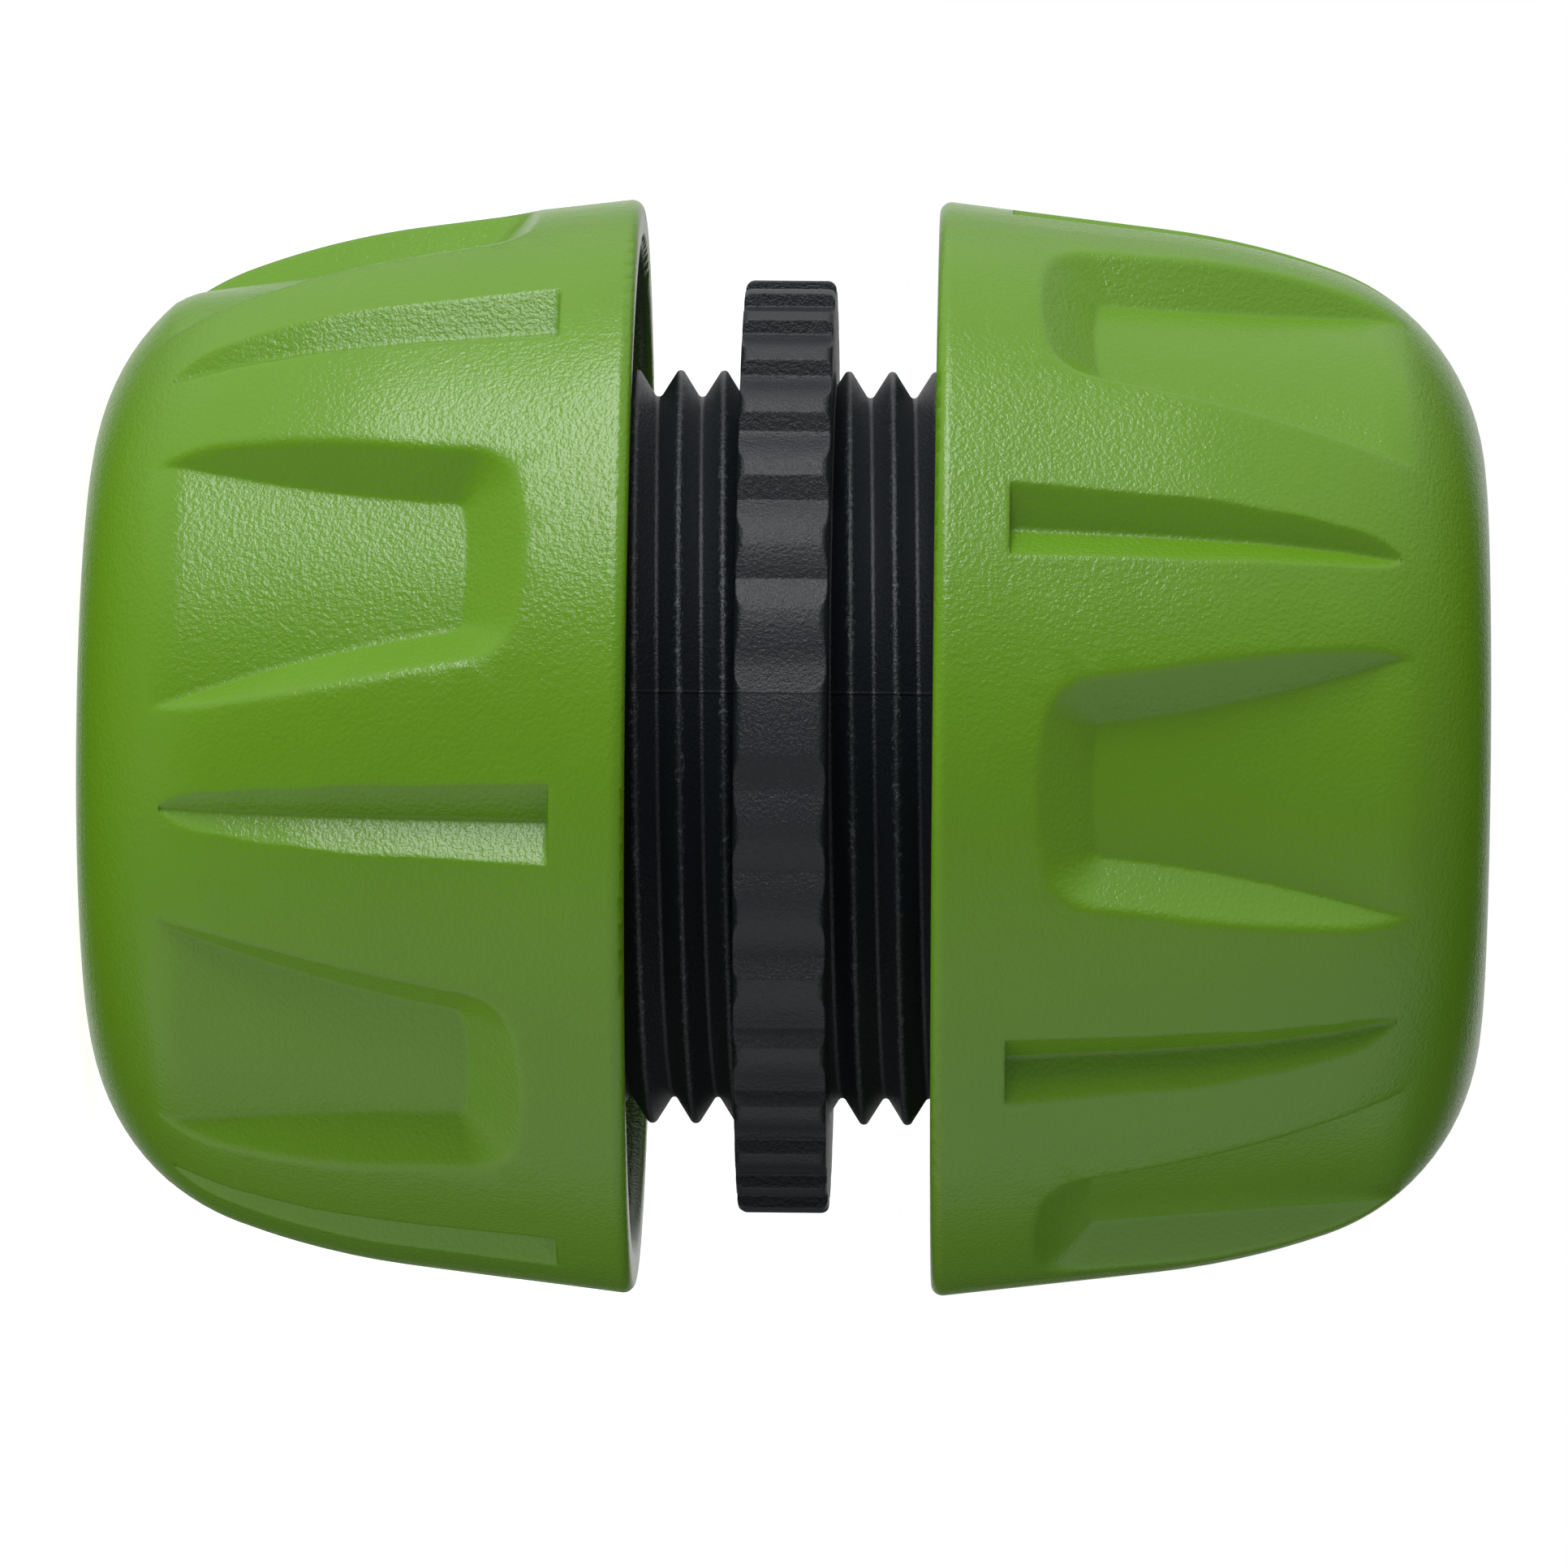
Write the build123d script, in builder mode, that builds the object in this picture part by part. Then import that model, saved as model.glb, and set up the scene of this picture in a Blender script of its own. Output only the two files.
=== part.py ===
"""Hose mender for a 12.5 mm garden hose: a toothed body, two clamp nuts and two collets.

The mender stands on one end with its axis along Z. The body carries a spigot and a
threaded sleeve at each end, and each nut holds a split collet that closes on the hose.
"""

import os
from math import asin, cos, radians, sin, sqrt, tan

from build123d import *

# Hose
hose_bore = 12.7
hose_opening = 17.2
hose_play_in_sleeve = 0.8
hose_play_in_collet = 0.3

# Thread, a 60 degree form
thread_pitch = 1.5
thread_depth_in_pitches = 0.6134
thread_clearance = 0.2

# Body
collar_thickness = 3.1
collar_edge_radius = 0.3
sleeve_length = 9.0
sleeve_wall = 3.6
sleeve_chamfer = 0.8
pocket_floor_height = 1.0
waterway_diameter = 9.0
waterway_chamfer = 0.4

# Grip teeth of the collar, set out from the mould's parting plane
teeth_in_quadrant = 9
tooth_pitch_angle = 10.0
first_land_angle = 1.7
tooth_land_angle = 2.7
tooth_fall_angle = 5.0
tooth_depth = 0.45
tooth_root_overlap = 1.5
parting_overlap = 0.3
parting_angle = 2.7

# Hose spigot
spigot_reach = 15.45
barb_count = 3
barb_pitch = 3.0
barb_height = 0.45
barb_land = 0.5
spigot_tip_drop = 0.5

# Nut, measured from its end face
nut_length = 18.8
nut_gap = 3.55
end_ring_width = 0.65
opening_edge_radius = 0.25
shoulder_radius = 7.8
brow_radius = 27.1
brow_angle = 19.5
side_angle = 6.8
rim_radius = 0.4
end_wall = 1.5
skirt_wall = 1.55
skirt_depth = 2.2
skirt_clearance = 1.24
threaded_wall = 1.3
threaded_setback = 2.0
thread_lead_in = 0.4
core_gap = 1.1
core_gap_depth = 7.0

# Scoops round the nut
scoop_count = 6
scoop_start = 5.5
scoop_depth = 1.35
scoop_run_out_height = 3.1
scoop_run_out_radius = 3.0
scoop_near_width = 4.5
scoop_far_width = 10.4
scoop_foot_angle = 12.0
scoop_side_slope = 1.5
scoop_end_slope = 1.85
scoop_foot_corner_radius = 0.3
scoop_corner_growth = 1.15
scoop_cutter_height = 3.0
scoop_edge_radius = 0.5

# Grooves between the scoops, a little nearer to one neighbour
groove_lag_angle = 1.0
groove_start = 2.5
groove_end = 3.2
groove_width = 2.9
groove_depth = 0.95
groove_stations = 6
groove_fullness = 0.36
groove_tip_share = 0.08
groove_cutter_height = 0.6

# Collets
collet_clearance = 0.15
collet_play = 0.35
collet_length = 6.3
collet_tip_wall = 1.55
collet_finger_count = 8
collet_slot_width = 0.9
collet_band = 1.9
collet_split_width = 1.2
collet_rib_count = 3
collet_rib_height = 0.2
collet_lead_in = 0.4

# How the two nuts are turned, from the camera's side towards the top of the view
lower_nut_turn = 20.6
upper_nut_turn = 4.7

# Places along the axis, from the lower nut's end face
total_length = 2 * (nut_length + nut_gap) + collar_thickness
middle = total_length / 2
collar_top = middle + collar_thickness / 2

# Radii that the pieces share
opening_radius = hose_opening / 2
collet_radius = opening_radius + hose_play_in_collet
pocket_radius = opening_radius + hose_play_in_sleeve
thread_radius = pocket_radius + sleeve_wall
thread_root_radius = thread_radius - thread_depth_in_pitches * thread_pitch
nut_bore_radius = thread_radius + thread_clearance
threaded_radius = nut_bore_radius + threaded_wall
ring_radius = opening_radius + end_ring_width


def around(radius, angle):
    """The plan point at a radius and an angle in degrees."""
    return (radius * cos(radians(angle)), radius * sin(radians(angle)))


def nut_radius(height):
    """Outer radius of the nut at a height over its end face: shoulder, brow, then side."""
    if height < shoulder_radius * (1 - sin(radians(brow_angle))):
        return ring_radius + sqrt(shoulder_radius**2 - (shoulder_radius - height) ** 2)
    growth = brow_radius - shoulder_radius
    brow_height = shoulder_radius + growth * sin(radians(brow_angle))
    brow_centre = ring_radius - growth * cos(radians(brow_angle))
    side_height = brow_height - brow_radius * sin(radians(side_angle))
    if height < side_height:
        return brow_centre + sqrt(brow_radius**2 - (brow_height - height) ** 2)
    side_radius = brow_centre + brow_radius * cos(radians(side_angle))
    return side_radius + (height - side_height) * tan(radians(side_angle))


def finish(piece, name):
    """Label a finished piece and write its file."""
    piece.part.label = name
    export_step(piece.part, f"parts/{name}.step")


def finish_pair(moulding, kind):
    """Set one moulding in the lower end and its twin, turned over, in the upper end."""
    for side, seat in (("lower", lower_seat), ("upper", upper_seat)):
        with BuildPart() as piece:
            with Locations(seat.location):
                add(moulding.part)
        finish(piece, f"{side}_{kind}")


# Seats of the two ends: both look into the mender, each turned as its nut stands
towards_camera = Vector(0, -1, 0)
lower_seat = Plane(
    origin=(0, 0, 0), x_dir=towards_camera.rotate(Axis.Z, -lower_nut_turn), z_dir=(0, 0, 1)
)
upper_seat = Plane(
    origin=(0, 0, total_length), x_dir=towards_camera.rotate(Axis.Z, upper_nut_turn), z_dir=(0, 0, -1)
)
os.makedirs("parts", exist_ok=True)

# Skirt of the nuts, which slides over the collar
mouth_radius = nut_radius(nut_length)
skirt_bore_radius = mouth_radius - skirt_wall

# Body: the collar's plan is laid out on the parting plane, one tooth at a time
collar_radius = skirt_bore_radius - skirt_clearance
root_radius = collar_radius - tooth_depth
tooth_margin = tooth_depth / 4
collar_foot = Plane(
    origin=(0, 0, middle - collar_thickness / 2),
    x_dir=towards_camera.rotate(Axis.Z, -parting_angle),
    z_dir=(0, 0, 1),
)

with BuildPart() as mender_body:
    with BuildSketch(collar_foot):
        Circle(root_radius)
        for across, along in ((1, 1), (1, -1), (-1, 1), (-1, -1)):
            for number in range(teeth_in_quadrant):
                land_start = first_land_angle + number * tooth_pitch_angle
                land_end = land_start + tooth_land_angle
                # The flank towards the parting plane drops straight along the mould's draw
                flank = collar_radius * cos(radians(land_start))
                foot = sqrt(root_radius**2 - flank**2) if flank < root_radius else -parting_overlap
                corners = (
                    (flank - tooth_root_overlap, foot),
                    (flank, foot),
                    around(collar_radius, land_start),
                    around(collar_radius + tooth_margin, land_start),
                    around(collar_radius + tooth_margin, land_end - tooth_fall_angle / 4),
                    around(root_radius - tooth_margin, land_end + tooth_fall_angle * 5 / 4),
                    around(root_radius - tooth_root_overlap, land_end),
                )
                Polygon([(x * across, y * along) for x, y in corners], align=None)
        Circle(collar_radius, mode=Mode.INTERSECT)
    extrude(amount=collar_thickness)
    with BuildSketch(Plane.XZ):
        with Locations((0, middle)):
            RectangleRounded(2 * collar_radius, collar_thickness, collar_edge_radius)
            Rectangle(collar_radius, collar_thickness, align=(Align.MAX, Align.CENTER), mode=Mode.SUBTRACT)
            Rectangle(collar_radius / 2, collar_thickness, align=(Align.MIN, Align.CENTER))
    revolve(axis=Axis.Z, mode=Mode.INTERSECT)

    # One end in section: web, threaded sleeve, hose pocket and barbed spigot
    sleeve_top = collar_top + sleeve_length
    pocket_floor = collar_top + pocket_floor_height
    spigot_radius = hose_bore / 2
    spigot_tip = collar_top + spigot_reach
    waterway_radius = waterway_diameter / 2
    first_barb = spigot_tip - barb_count * barb_pitch
    with BuildSketch(Plane.XZ):
        with BuildLine():
            sleeve = Polyline(
                (waterway_radius, middle),
                (thread_radius, middle),
                (thread_radius, sleeve_top - sleeve_chamfer),
                (thread_radius - sleeve_chamfer, sleeve_top),
                (pocket_radius, sleeve_top),
                (pocket_radius, pocket_floor),
                (spigot_radius, pocket_floor),
            )
            barbs = []
            for number in range(barb_count):
                step = first_barb + number * barb_pitch
                barbs += [
                    (spigot_radius, step),
                    (spigot_radius + barb_height, step),
                    (spigot_radius + barb_height, step + barb_land),
                ]
            Polyline(
                sleeve @ 1,
                *barbs,
                (spigot_radius - spigot_tip_drop, spigot_tip),
                (waterway_radius + waterway_chamfer, spigot_tip),
                (waterway_radius, spigot_tip - waterway_chamfer),
                sleeve @ 0,
            )
        make_face()
    revolve(axis=Axis.Z)
    mirror(about=Plane.XY.offset(middle))
    with BuildSketch(Plane.XY.offset(middle - collar_thickness)):
        Circle(waterway_radius)
    extrude(amount=2 * collar_thickness, mode=Mode.SUBTRACT)

finish(mender_body, "mender_body")

# Scoop cutter: walls that lean outwards and spread towards the small end
scoop_height = nut_length - scoop_start
scoop_radius = nut_radius(scoop_height) - scoop_depth
foot_corner_angle = asin(scoop_near_width / 2 / scoop_radius)
foot_lean = radians(scoop_foot_angle)
scoop_foot = Plane(
    origin=(scoop_radius * cos(foot_corner_angle), 0, scoop_height),
    x_dir=(sin(foot_lean), 0, cos(foot_lean)),
    z_dir=(cos(foot_lean), 0, -sin(foot_lean)),
)
scoop_length = scoop_height / cos(foot_lean)
scoop_flare = (scoop_far_width - scoop_near_width) / 2 / scoop_length**2

with BuildPart() as scoop_cutter:
    for lift in (0, scoop_cutter_height):
        reach = lift * scoop_end_slope
        stations = (reach, (reach - scoop_length) / 2, -scoop_length)
        sides = [scoop_near_width / 2 + scoop_flare * x**2 + lift * scoop_side_slope for x in stations]
        with BuildSketch(scoop_foot.offset(lift)):
            with BuildLine():
                left = ThreePointArc(*zip(stations, sides))
                right = ThreePointArc(*[(x, -side) for x, side in zip(stations, sides)])
                Line(left @ 0, right @ 0)
                Line(left @ 1, right @ 1)
            outline = make_face()
            near_corners = outline.vertices().group_by(Axis.X)[-1]
            fillet(near_corners, scoop_foot_corner_radius + lift * scoop_corner_growth)
    loft(ruled=True)
    # The floor is turned about the nut's axis and rounds over into the shoulder
    run_out = Vector(nut_radius(scoop_run_out_height), scoop_run_out_height)
    shoulder_slope = (shoulder_radius - scoop_run_out_height) / (run_out.X - ring_radius)
    with BuildSketch(Plane.XZ):
        with BuildLine():
            Polyline(
                (0, 0),
                (run_out.X - scoop_run_out_height * shoulder_slope, 0),
                run_out,
                (scoop_radius, scoop_height),
                (scoop_radius, nut_length),
                (0, nut_length),
                close=True,
            )
        core = make_face()
        fillet(core.vertices().sort_by_distance(run_out)[0], scoop_run_out_radius)
    revolve(axis=Axis.Z, mode=Mode.SUBTRACT)

# Groove cutter: vee sections that follow the outside and close quickly at the tip
groove_top = nut_length - groove_start
vee_slope = groove_width / 2 / groove_depth

with BuildPart() as groove_cutter:
    for station in range(groove_stations):
        way = (station / (groove_stations - 1)) ** 2
        share = max(way**groove_fullness, groove_tip_share)
        height = groove_end + (groove_top - groove_end) * way
        outside = nut_radius(height) + groove_cutter_height
        half_width = share * groove_width / 2 + groove_cutter_height * vee_slope
        with BuildSketch(Plane.XY.offset(height)):
            with BuildLine():
                Polyline(
                    (nut_radius(height) - share * groove_depth, 0),
                    (outside, half_width),
                    (outside, -half_width),
                    close=True,
                )
            make_face()
    loft(ruled=True)

# Collet's cone and the seat that it fits in the nut
collet_foot = end_wall + collet_clearance
collet_top = collet_foot + collet_length
collet_small_radius = collet_radius + collet_tip_wall
collet_big_radius = thread_root_radius
seat_lean = (collet_big_radius - collet_small_radius) / collet_length
seat_top = collet_top + collet_play
seat_small_radius = collet_small_radius + collet_clearance * (1 - seat_lean)
seat_big_radius = collet_big_radius + collet_clearance + collet_play * seat_lean

# Nut: one turned section with the collet's seat, the threaded wall and the skirt
threaded_top = nut_length - threaded_setback
skirt_floor = nut_length - skirt_depth
core_floor = nut_length - core_gap_depth

with BuildPart() as nut:
    with BuildSketch(Plane.XZ):
        with BuildLine():
            ring = Line((opening_radius, 0), (ring_radius, 0))
            shoulder = JernArc(ring @ 1, (1, 0), shoulder_radius, 90 - brow_angle)
            brow = JernArc(shoulder @ 1, shoulder % 1, brow_radius, brow_angle - side_angle)
            Polyline(
                brow @ 1,
                (mouth_radius, nut_length),
                (skirt_bore_radius, nut_length),
                (skirt_bore_radius, skirt_floor),
                (threaded_radius + core_gap, skirt_floor),
                (threaded_radius + core_gap, core_floor),
                (threaded_radius, core_floor),
                (threaded_radius, threaded_top),
                (nut_bore_radius + thread_lead_in, threaded_top),
                (nut_bore_radius, threaded_top - thread_lead_in),
                (nut_bore_radius, seat_top),
                (seat_big_radius, seat_top),
                (seat_small_radius, end_wall),
                (opening_radius, end_wall),
                ring @ 0,
            )
        make_face()
    revolve(axis=Axis.Z)
    mouth_rims = nut.edges().filter_by(GeomType.CIRCLE).group_by(Axis.Z)[-1]
    fillet(mouth_rims, rim_radius)
    end_rims = nut.edges().filter_by(GeomType.CIRCLE).group_by(Axis.Z)[0]
    fillet(end_rims.sort_by(SortBy.RADIUS)[0], opening_edge_radius)
    with PolarLocations(0, scoop_count):
        add(scoop_cutter.part, mode=Mode.SUBTRACT)
    # The scoops' upper edges are softened, but not the run-out over the shoulder
    scoop_edges = nut.edges(Select.LAST).filter_by(GeomType.BSPLINE)
    upper_edges = scoop_edges.filter_by(
        lambda edge: abs(Vector((edge @ 0.5).X, (edge @ 0.5).Y).length - nut_radius((edge @ 0.5).Z))
        < opening_edge_radius / 10
        and (edge @ 0.5).Z > scoop_run_out_height
    )
    fillet(upper_edges, scoop_edge_radius)
    with PolarLocations(0, scoop_count, start_angle=180 / scoop_count - groove_lag_angle):
        add(groove_cutter.part, mode=Mode.SUBTRACT)

finish_pair(nut, "nut")

# Collet: a split ring of fingers that fits the nut's cone, ribbed inside
rib_pitch = (collet_length - 2 * collet_lead_in) / collet_rib_count

with BuildPart() as collet:
    with BuildSketch(Plane.XZ):
        with BuildLine():
            cone = Line((collet_small_radius, collet_foot), (collet_big_radius, collet_top))
            ribs = []
            for number in reversed(range(collet_rib_count)):
                crest = collet_foot + collet_lead_in + (number + 0.5) * rib_pitch
                ribs += [
                    (collet_radius - collet_rib_height, crest),
                    (collet_radius, crest),
                    (collet_radius, crest - rib_pitch / 2),
                ]
            Polyline(
                cone @ 1,
                (collet_radius + collet_lead_in, collet_top),
                (collet_radius, collet_top - collet_lead_in),
                *ribs,
                (collet_radius + collet_lead_in, collet_foot),
                cone @ 0,
            )
        make_face()
    revolve(axis=Axis.Z)
    with BuildSketch(Plane.XY.offset(collet_foot)):
        with PolarLocations(collet_big_radius / 2, collet_finger_count):
            Rectangle(collet_big_radius, collet_slot_width)
    extrude(amount=collet_length - collet_band, mode=Mode.SUBTRACT)
    with BuildSketch(Plane.XY.offset(collet_foot)):
        with Locations((collet_big_radius / 2, 0)):
            Rectangle(collet_big_radius, collet_split_width)
    extrude(amount=collet_length, mode=Mode.SUBTRACT)

finish_pair(collet, "collet")
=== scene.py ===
"""Hose mender: finishes, threads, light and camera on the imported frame."""

import math

import bpy
from mathutils import Matrix, Vector


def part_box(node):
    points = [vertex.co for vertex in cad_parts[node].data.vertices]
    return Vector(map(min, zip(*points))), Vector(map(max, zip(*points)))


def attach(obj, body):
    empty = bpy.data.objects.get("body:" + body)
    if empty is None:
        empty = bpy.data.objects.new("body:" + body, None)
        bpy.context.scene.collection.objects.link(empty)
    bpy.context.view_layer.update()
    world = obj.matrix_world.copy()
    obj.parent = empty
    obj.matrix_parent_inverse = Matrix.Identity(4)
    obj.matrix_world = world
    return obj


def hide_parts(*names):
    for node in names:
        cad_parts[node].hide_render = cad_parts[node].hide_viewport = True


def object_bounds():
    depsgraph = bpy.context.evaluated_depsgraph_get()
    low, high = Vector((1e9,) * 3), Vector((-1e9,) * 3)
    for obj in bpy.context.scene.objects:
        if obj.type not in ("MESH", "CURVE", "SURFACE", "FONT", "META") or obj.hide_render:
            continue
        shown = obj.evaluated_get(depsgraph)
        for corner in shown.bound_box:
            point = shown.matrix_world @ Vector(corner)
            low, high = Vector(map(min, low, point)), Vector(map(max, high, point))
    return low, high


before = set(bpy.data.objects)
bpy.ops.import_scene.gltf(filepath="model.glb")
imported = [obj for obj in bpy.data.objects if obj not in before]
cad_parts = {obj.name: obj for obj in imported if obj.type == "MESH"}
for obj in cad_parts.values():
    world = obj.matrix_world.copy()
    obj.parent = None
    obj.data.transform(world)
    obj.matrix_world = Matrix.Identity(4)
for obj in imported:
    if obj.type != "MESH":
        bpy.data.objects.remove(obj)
cad_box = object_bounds()
MM = 0.001

# The mender along its axis
LENGTH = cad_box[1].z
MIDDLE = LENGTH / 2
NUT_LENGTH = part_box("lower_nut")[1].z
COLLAR_HALF = 1.55 * MM
SLEEVE_LENGTH = 9 * MM

# Thread, a 60 degree form: heights of one crest at the photograph's top, which is -X
PITCH = 1.5 * MM
CREST_RADIUS = 12.99 * MM
ROOT_RADIUS = 12.08 * MM
CREST_WIDTH = 0.26 * MM
ROOT_WIDTH = 0.24 * MM
CREST_DROP = 0.06 * MM
ROOT_RISE = 0.05 * MM
LOWER_CREST = 18.60 * MM
UPPER_CREST = 18.39 * MM
SOFT_CREST_WIDTH = 0.55
SOFT_CREST_DROP = 0.25
FLAT_ROOT_WIDTH = 0.4
HALF_ANGLE = math.radians(30)
TURN_STEPS = 144

# Meshing: how close faces and points may lie, and the sharpest angle that still looks smooth
FACE_GAP = 0.01 * MM
MERGE_GAP = FACE_GAP / 10
CUT_GAP = FACE_GAP / 1000
NUT_SMOOTH = math.radians(27)
BODY_SMOOTH = math.radians(32)
RIDGE_SMOOTH = math.radians(25)

# The nuts' inside thread, which runs in the body's grooves
RIDGE_TIP_RADIUS = 12.3 * MM
RIDGE_BASE_RADIUS = 13.26 * MM
RIDGE_TIP_WIDTH = 0.3 * MM
RIDGE_START = 8.7 * MM
RIDGE_SETBACK = 2.42 * MM

# Camera: the photograph's frame and the axis's place in it
FRAME_PX = 1932
MM_PER_PX = 0.028
LEFT_END_PX = 117
AXIS_ROW_PX = 921
SQUARE_ON_PX = 1260
CAMERA_DISTANCE = 448 * MM
CAMERA_ROLL = math.radians(0.5)
SENSOR_MM = 36

# Finishes
LEAF_GREEN = (0.128, 0.302, 0.007, 1), (0.142, 0.332, 0.009, 1)
NEAR_BLACK = (0.0105, 0.0138, 0.0185, 1)
# Lighter black for the thread crests: part wear, part painted highlight along the crest lines
WEAR_AND_GLINT_BLACK = (0.09, 0.1, 0.115, 1)
COLLET_BLACK = (0.014, 0.0145, 0.0155, 1), (0.024, 0.025, 0.027, 1)
SEAM_X = -1.8 * MM
SEAM_EDGES = 0.02 * MM, 0.07 * MM
CREST_FROM = 12.82 * MM, 12.93 * MM
CREST_TO = 13.1 * MM, 13.2 * MM
WHITE = (1, 1, 1, 1)
FLOOR_SIZE = 6


class Socket:
    """A node's output, or a number, that can be used in a Python expression."""

    def __init__(self, tree, value):
        self.tree = tree
        self.value = value

    def math(self, operation, *others):
        return self.tree.make("ShaderNodeMath", {"operation": operation}, (self, *others))

    def __add__(self, other):
        return self.math("ADD", other)

    __radd__ = __add__

    def __sub__(self, other):
        return self.math("SUBTRACT", other)

    def __rsub__(self, other):
        return self.tree.wrap(other).math("SUBTRACT", self)

    def __mul__(self, other):
        return self.math("MULTIPLY", other)

    __rmul__ = __mul__

    def __abs__(self):
        return self.math("ABSOLUTE")


class Finish:
    """A node tree, with one method that makes any node."""

    def __init__(self, owner):
        self.owner = owner
        owner.use_nodes = True
        self.nodes = owner.node_tree.nodes
        self.links = owner.node_tree.links
        self.nodes.clear()

    def wrap(self, value):
        return value if isinstance(value, Socket) else Socket(self, value)

    def make(self, kind, settings=None, inputs=(), output=0):
        """Add a node, set it up, then fill its sockets by order or by name."""
        node = self.nodes.new(kind)
        for key, value in (settings or {}).items():
            setattr(node, key, value)
        pairs = inputs.items() if isinstance(inputs, dict) else enumerate(inputs)
        for key, value in pairs:
            value = self.wrap(value).value
            if isinstance(value, bpy.types.NodeSocket):
                self.links.new(value, node.inputs[key])
            else:
                node.inputs[key].default_value = value
        return Socket(self, node.outputs[output]) if node.outputs else None

    def place(self):
        return self.make("ShaderNodeTexCoord", output="Object")

    def along(self, axis):
        """One coordinate of the place on the object, in metres."""
        return self.make("ShaderNodeSeparateXYZ", {}, [self.place()], output=axis)

    def axis_distance(self):
        """Distance of the place on the object from the hose axis, in metres."""
        inputs = [self.place(), (1, 1, 0)]
        across = self.make("ShaderNodeVectorMath", {"operation": "MULTIPLY"}, inputs)
        return self.make("ShaderNodeVectorMath", {"operation": "LENGTH"}, [across], output="Value")

    def noise(self, size, detail=2.0, roughness=0.5):
        """Even noise with features of about this size in metres, from 0 to 1."""
        inputs = {"Vector": self.place(), "Scale": 1 / size}
        inputs |= {"Detail": detail, "Roughness": roughness}
        return self.make("ShaderNodeTexNoise", {}, inputs, output="Fac")

    def mix(self, share, first, second):
        """Mix two colours."""
        inputs = {"Factor": share, 6: first, 7: second}
        return self.make("ShaderNodeMix", {"data_type": "RGBA"}, inputs, output=2)

    def step(self, value, low, high):
        """Rise smoothly from 0 at low to 1 at high."""
        settings = {"interpolation_type": "SMOOTHSTEP"}
        return self.make("ShaderNodeMapRange", settings, [value, low, high, 0.0, 1.0])

    def bump(self, height, distance, edge_radius):
        """Raise a pattern, on edges that look rounded by a radius."""
        rounded = self.make("ShaderNodeBevel", {"samples": 8}, {"Radius": edge_radius})
        inputs = {"Height": height, "Distance": distance, "Normal": rounded}
        return self.make("ShaderNodeBump", {}, inputs)

    def plastic(self, **inputs):
        """Close the tree with a Principled shader; _ stands for a space in a socket's name."""
        inputs = {name.replace("_", " "): value for name, value in inputs.items()}
        shader = self.make("ShaderNodeBsdfPrincipled", {}, inputs)
        self.make("ShaderNodeOutputMaterial", {}, {"Surface": shader})
        return self.owner


def green_plastic():
    """Leaf green moulding with a fine spark-eroded grain."""
    finish = Finish(bpy.data.materials.new("green_plastic"))
    grain = finish.noise(0.16 * MM, detail=2.5, roughness=0.55)
    cloud = finish.noise(5 * MM, detail=3.0)
    return finish.plastic(
        Base_Color=finish.mix(cloud, *LEAF_GREEN),
        Roughness=0.19 + 0.08 * grain,
        Normal=finish.bump(grain, 0.032 * MM, 0.3 * MM),
        IOR=1.54,
    )


def black_plastic():
    """Near-black moulding with a fine grain, the mould's line along it, and crests painted lighter
    in speckles: part wear, part painted highlight.
    """
    finish = Finish(bpy.data.materials.new("black_plastic"))
    grain = finish.noise(0.13 * MM, detail=3.0, roughness=0.7)
    seam = 1 - finish.step(abs(finish.along("X") - SEAM_X), *SEAM_EDGES)
    radius = finish.axis_distance()
    crest = finish.step(radius, *CREST_FROM) * (1 - finish.step(radius, *CREST_TO))
    wear_and_glint_speckle = finish.noise(0.22 * MM, detail=3.0, roughness=0.7)
    # Crest band painted lighter where the speckle noise is high: part wear, part painted highlight
    wear_and_glint = crest * finish.step(wear_and_glint_speckle, 0.53, 0.72)
    return finish.plastic(
        Base_Color=finish.mix(wear_and_glint, NEAR_BLACK, WEAR_AND_GLINT_BLACK),
        Roughness=0.27 + 0.17 * grain,
        Normal=finish.bump(grain * 1.1 + seam * 0.7, 0.05 * MM, 0.12 * MM),
        IOR=1.5,
    )


def collet_plastic():
    """Flexible black plastic, matte and a little uneven in tone."""
    finish = Finish(bpy.data.materials.new("collet_plastic"))
    grain = finish.noise(0.2 * MM, detail=3.0, roughness=0.6)
    cloud = finish.noise(1.6 * MM, detail=3.0)
    return finish.plastic(
        Base_Color=finish.mix(cloud, *COLLET_BLACK),
        Roughness=0.46 + 0.16 * cloud,
        Normal=finish.bump(grain, 0.02 * MM, 0.15 * MM),
        IOR=1.5,
    )


def white_surface():
    """The pale floor."""
    finish = Finish(bpy.data.materials.new("white_surface"))
    return finish.plastic(
        Base_Color=(0.8, 0.8, 0.8, 1),
        Roughness=0.9,
        Emission_Color=WHITE,
        Emission_Strength=0.9,
    )


def studio_world():
    """White to the camera, but it lights the mender dimly, save from top, foot and backdrop."""
    finish = Finish(bpy.data.worlds.new("studio"))
    direction = finish.make("ShaderNodeTexCoord", output="Generated")
    depth = finish.make("ShaderNodeSeparateXYZ", {}, [direction], output="Y")
    down = finish.make("ShaderNodeSeparateXYZ", {}, [direction], output="X")
    top_and_foot = 0.17 + 0.5 * finish.step(abs(down), 0.15, 0.75)
    dark_behind = 1 - 0.9 * finish.step(down, -0.8, -0.1) * finish.step(depth, 0.1, 0.6)
    backdrop = 0.8 * finish.step(depth, 0.88, 0.97) * (1 - finish.step(down, 0.05, 0.25))
    glow = top_and_foot * dark_behind + backdrop
    seen = finish.make("ShaderNodeLightPath", output="Is Camera Ray")
    inputs = {"Color": WHITE, "Strength": seen + (1 - seen) * glow}
    background = finish.make("ShaderNodeBackground", {}, inputs)
    finish.make("ShaderNodeOutputWorld", {}, [background])
    return finish.owner


def dress(mesh, material):
    mesh.materials.clear()
    mesh.materials.append(material)


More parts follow.
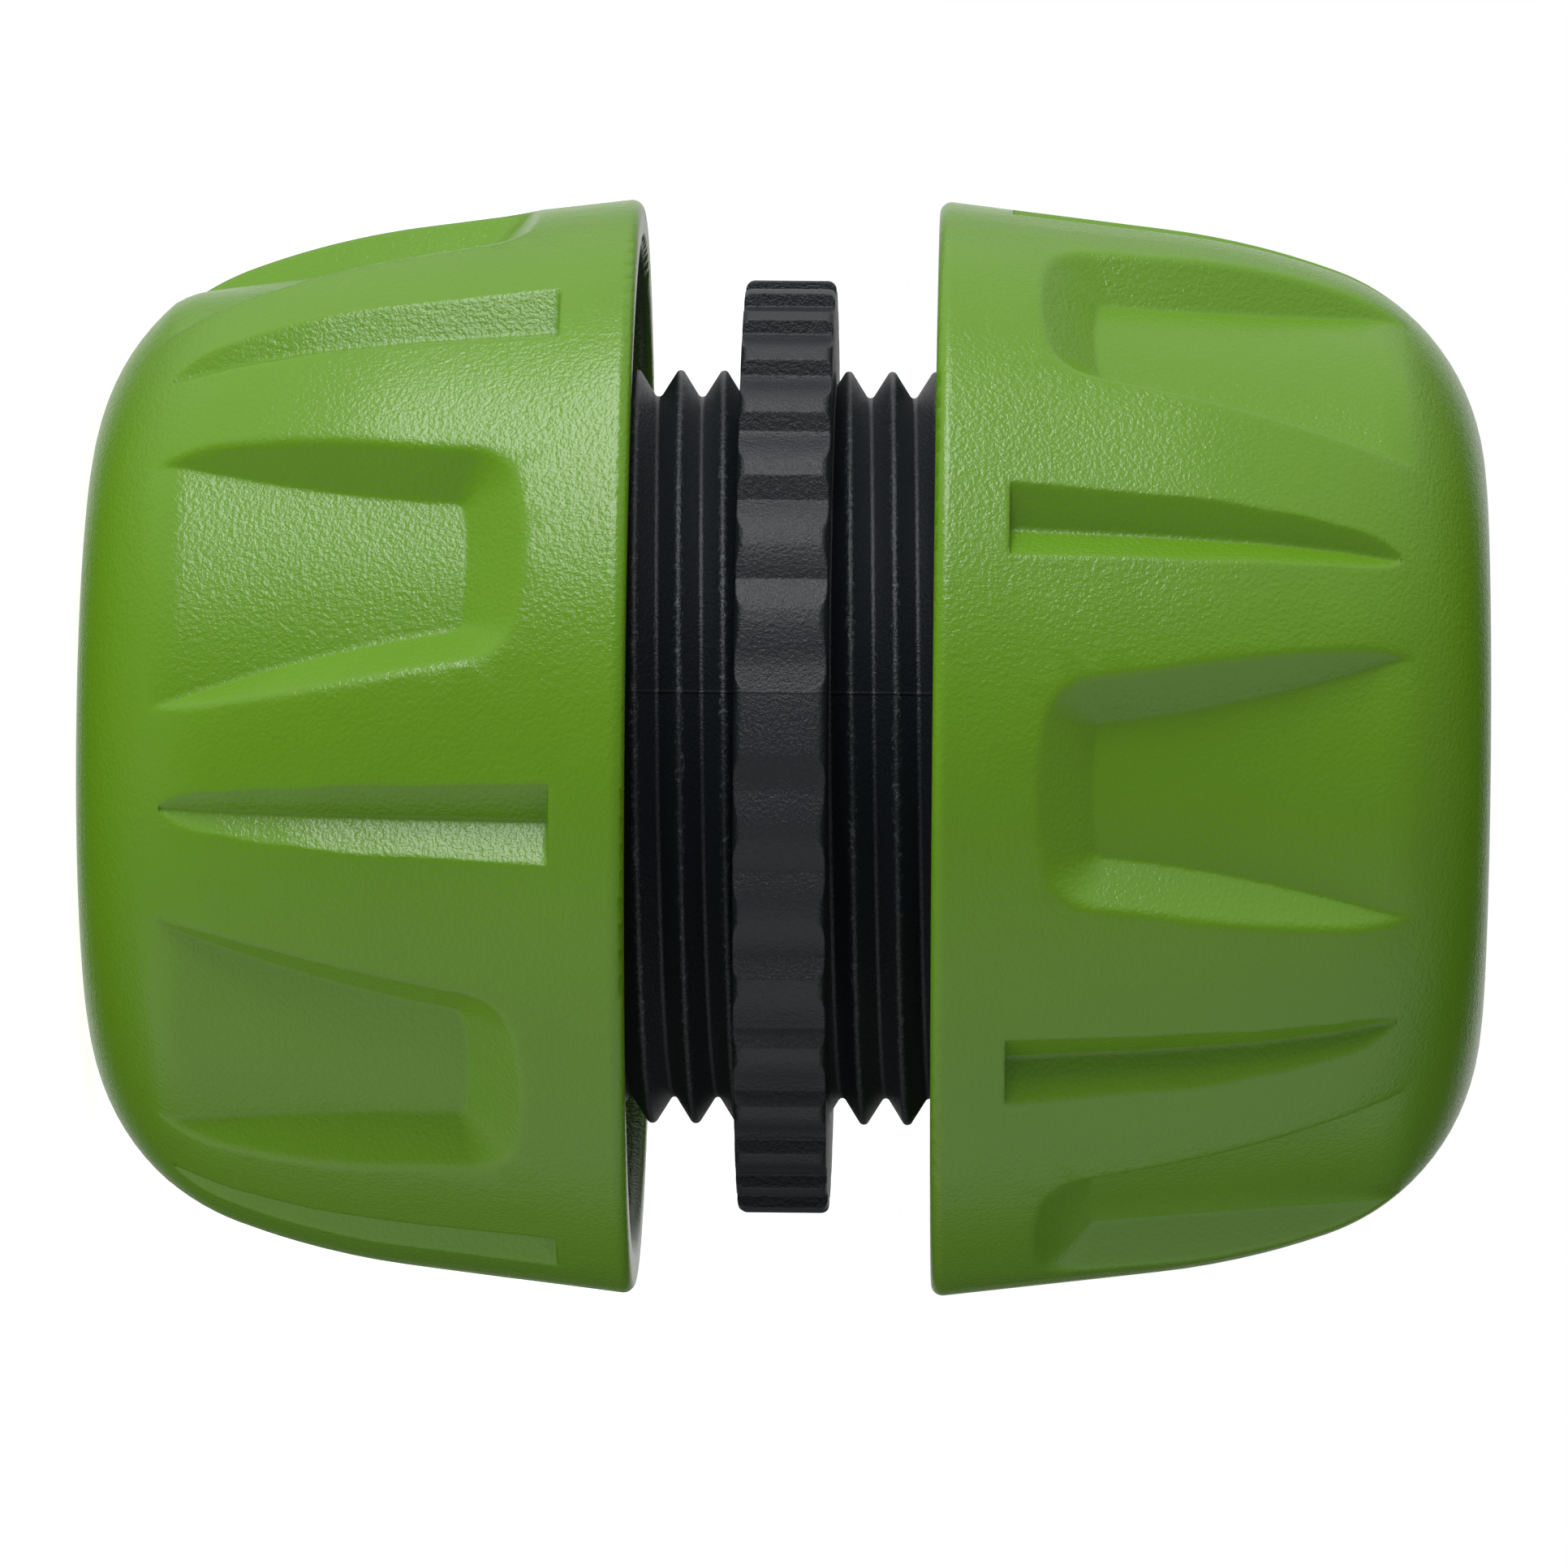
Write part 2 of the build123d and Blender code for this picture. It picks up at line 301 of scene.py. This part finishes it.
def pick(piece):
    """Make one piece the only selected one."""
    bpy.ops.object.select_all(action="DESELECT")
    piece.select_set(True)
    bpy.context.view_layer.objects.active = piece


def apply_modifier(piece, kind, **settings):
    pick(piece)
    modifier = piece.modifiers.new(kind.lower(), kind)
    for key, value in settings.items():
        setattr(modifier, key, value)
    bpy.ops.object.modifier_apply(modifier=modifier.name)


def draw_line(name, points, closed=False):
    """A profile of edges in the XZ plane, drawn point by point."""
    bpy.ops.object.select_all(action="DESELECT")
    bpy.ops.mesh.primitive_plane_add(size=MM)
    piece = bpy.context.object
    piece.name = name
    bpy.ops.object.mode_set(mode="EDIT")
    bpy.ops.mesh.merge(type="CENTER")
    corners = [Vector((x, 0, z)) for x, z in points]
    bpy.ops.transform.translate(value=corners[0])
    if closed:
        corners.append(corners[0])
    for start, end in zip(corners, corners[1:]):
        bpy.ops.mesh.extrude_vertices_move(TRANSFORM_OT_translate={"value": end - start})
    bpy.ops.mesh.select_all(action="SELECT")
    bpy.ops.mesh.remove_doubles(threshold=MERGE_GAP)
    bpy.ops.object.mode_set(mode="OBJECT")
    return piece


def wind(piece, low, high):
    """Wind a one-pitch profile round the axis, then cut it flat at two heights and close it."""
    turns = math.ceil((high - low) / PITCH) + 2
    apply_modifier(
        piece,
        "SCREW",
        angle=math.tau,
        screw_offset=PITCH,
        iterations=turns,
        steps=TURN_STEPS,
        render_steps=TURN_STEPS,
        use_merge_vertices=False,
    )
    bpy.ops.object.mode_set(mode="EDIT")
    bpy.ops.mesh.select_all(action="SELECT")
    bpy.ops.mesh.remove_doubles(threshold=MERGE_GAP)
    for height, side in ((low, "clear_inner"), (high, "clear_outer")):
        bpy.ops.mesh.select_all(action="SELECT")
        bpy.ops.mesh.bisect(
            plane_co=(0, 0, height),
            plane_no=(0, 0, 1),
            threshold=CUT_GAP,
            use_fill=True,
            **{side: True},
        )
    bpy.ops.mesh.select_all(action="SELECT")
    bpy.ops.mesh.normals_make_consistent(inside=False)
    bpy.ops.object.mode_set(mode="OBJECT")
    return piece


def first_crest(crest, low):
    """Height of a crest line at +X, at least a pitch and a half under a start height."""
    at_x = crest - PITCH / 2
    return at_x - PITCH * math.ceil((at_x - low) / PITCH + 1.5)


def threaded_rod(name, crest, low, high):
    """A solid rod with the body's outside thread, rounded at crest and root."""
    base = first_crest(crest, low)
    half_crest, half_root = CREST_WIDTH / 2, ROOT_WIDTH / 2
    soft_crest = CREST_RADIUS - CREST_DROP * SOFT_CREST_DROP
    points = [
        (CREST_RADIUS, base),
        (soft_crest, base + half_crest * SOFT_CREST_WIDTH),
        (CREST_RADIUS - CREST_DROP, base + half_crest),
        (ROOT_RADIUS + ROOT_RISE, base + PITCH / 2 - half_root),
        (ROOT_RADIUS, base + PITCH / 2 - half_root * FLAT_ROOT_WIDTH),
        (ROOT_RADIUS, base + PITCH / 2 + half_root * FLAT_ROOT_WIDTH),
        (ROOT_RADIUS + ROOT_RISE, base + PITCH / 2 + half_root),
        (CREST_RADIUS - CREST_DROP, base + PITCH - half_crest),
        (soft_crest, base + PITCH - half_crest * SOFT_CREST_WIDTH),
        (CREST_RADIUS, base + PITCH),
    ]
    return wind(draw_line(name, points), low, high)


def cut_away(piece, tool):
    """Take a closed tool out of a closed piece."""
    apply_modifier(piece, "BOOLEAN", operation="DIFFERENCE", solver="EXACT", object=tool)
    bpy.data.objects.remove(tool)


def cut_thread(piece, crest, low, high):
    """Cut the thread into a plain sleeve between two heights."""
    bpy.ops.object.select_all(action="DESELECT")
    depth = high - low
    bpy.ops.mesh.primitive_cylinder_add(
        vertices=TURN_STEPS,
        radius=CREST_RADIUS + PITCH,
        depth=depth,
        location=(0, 0, low + depth / 2),
    )
    ring = bpy.context.object
    bpy.ops.object.transform_apply()
    cut_away(ring, threaded_rod("rod", crest, low - PITCH, high + PITCH))
    cut_away(piece, ring)


def nut_thread(name, crest, low, high):
    """The ridge of a nut's inside thread, in the middle of the body's groove."""
    groove = first_crest(crest, low) + PITCH / 2
    half_tip = RIDGE_TIP_WIDTH / 2
    half_base = half_tip + (RIDGE_BASE_RADIUS - RIDGE_TIP_RADIUS) * math.tan(HALF_ANGLE)
    points = [
        (RIDGE_TIP_RADIUS, groove - half_tip),
        (RIDGE_BASE_RADIUS, groove - half_base),
        (RIDGE_BASE_RADIUS, groove + half_base),
        (RIDGE_TIP_RADIUS, groove + half_tip),
    ]
    ridge = wind(draw_line(name, points, closed=True), low, high)
    dress(ridge.data, green)
    pick(ridge)
    bpy.ops.object.shade_smooth_by_angle(angle=RIDGE_SMOOTH)
    return ridge


def merged_copy(node, name):
    """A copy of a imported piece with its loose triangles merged."""
    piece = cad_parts[node].copy()
    piece.data = piece.data.copy()
    piece.name = name
    bpy.context.scene.collection.objects.link(piece)
    pick(piece)
    bpy.ops.object.mode_set(mode="EDIT")
    bpy.ops.mesh.select_all(action="SELECT")
    bpy.ops.mesh.customdata_custom_splitnormals_clear()
    bpy.ops.mesh.remove_doubles(threshold=MERGE_GAP)
    bpy.ops.object.mode_set(mode="OBJECT")
    return piece


def soft_nut(node, name):
    """A nut with its grooves and scoops shaded smoothly from end to end."""
    nut = merged_copy(node, name)
    dress(nut.data, green)
    pick(nut)
    bpy.ops.object.shade_smooth_by_angle(angle=NUT_SMOOTH)
    apply_modifier(nut, "WEIGHTED_NORMAL", keep_sharp=True, weight=100)
    return nut


def threaded_body():
    """The body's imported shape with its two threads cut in."""
    body = merged_copy("mender_body", "threaded_body")
    foot, top = MIDDLE - COLLAR_HALF - FACE_GAP, MIDDLE + COLLAR_HALF + FACE_GAP
    cut_thread(body, LOWER_CREST, foot - SLEEVE_LENGTH - PITCH / 2, foot)
    cut_thread(body, UPPER_CREST, top, top + SLEEVE_LENGTH + PITCH / 2)
    dress(body.data, black)
    pick(body)
    bpy.ops.object.shade_smooth_by_angle(angle=BODY_SMOOTH)
    return body


def add_area_light(name, place, target, size, power):
    """A white rectangle of light that faces its target."""
    lamp = bpy.data.lights.new(name, "AREA")
    lamp.shape = "RECTANGLE"
    lamp.size, lamp.size_y = size
    lamp.energy = power
    light = bpy.data.objects.new(name, lamp)
    bpy.context.scene.collection.objects.link(light)
    light.location = place
    light.rotation_mode = "QUATERNION"
    light.rotation_quaternion = (Vector(target) - Vector(place)).to_track_quat("-Z", "Y")
    return light


def add_camera():
    """The photograph's camera: near square-on, its right along +Z and its top along -X."""
    camera = bpy.data.objects.new("camera", bpy.data.cameras.new("camera"))
    bpy.context.scene.collection.objects.link(camera)
    px = MM_PER_PX * MM
    centre = FRAME_PX / 2
    target = Vector(((centre - AXIS_ROW_PX) * px, 0, (centre - LEFT_END_PX) * px))
    place = Vector((target.x, -CAMERA_DISTANCE, (SQUARE_ON_PX - LEFT_END_PX) * px))
    forward = (target - place).normalized()
    right = (Vector((0, 0, 1)) - forward * forward.z).normalized()
    up = right.cross(forward)
    rolled_right = right * math.cos(CAMERA_ROLL) + up * math.sin(CAMERA_ROLL)
    rolled_up = up * math.cos(CAMERA_ROLL) - right * math.sin(CAMERA_ROLL)
    turn = Matrix((rolled_right, rolled_up, -forward)).transposed()
    camera.matrix_world = Matrix.Translation(place) @ turn.to_4x4()
    camera.data.sensor_width = SENSOR_MM
    camera.data.lens = SENSOR_MM / 2 * (target - place).length / (centre * px)
    camera.data.clip_start = 0.01
    bpy.context.scene.camera = camera


green = green_plastic()
black = black_plastic()
for side in ("lower", "upper"):
    nut = soft_nut(f"{side}_nut", f"{side}_soft_nut")
    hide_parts(f"{side}_nut")
    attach(nut, f"{side}_grip")
rubbery = collet_plastic()
for name in ("lower_collet", "upper_collet"):
    dress(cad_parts[name].data, rubbery)

body = threaded_body()
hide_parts("mender_body")
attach(body, "body")

ridge_end = NUT_LENGTH - RIDGE_SETBACK
lower_ridge = nut_thread("lower_nut_thread", LOWER_CREST, RIDGE_START, ridge_end)
upper_ridge = nut_thread("upper_nut_thread", UPPER_CREST, LENGTH - ridge_end, LENGTH - RIDGE_START)
for ridge, grip in ((lower_ridge, "lower_grip"), (upper_ridge, "upper_grip")):
    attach(ridge, grip)

# Floor and light
bpy.ops.object.select_all(action="DESELECT")
bpy.ops.mesh.primitive_plane_add(size=FLOOR_SIZE, location=(0, 0, 0))
floor = bpy.context.object
floor.name = "floor"
floor.data.materials.append(white_surface())
# The mender lies on its side in the photograph, so light passes the floor as if through glass
floor.visible_shadow = floor.visible_diffuse = floor.visible_glossy = False

bpy.context.scene.world = studio_world()
add_area_light("key", (-0.517, -0.285, -0.03), (0, 0, MIDDLE), (0.54, 0.2), 2.3)
# A faint glow on the left nut's end, with no highlight of its own
fill = add_area_light("fill", (0.02, -0.1, -0.48), (0, 0, 0), (0.2, 0.2), 0.75)
fill.visible_glossy = False
add_camera()
bpy.context.scene.view_settings.view_transform = "Standard"
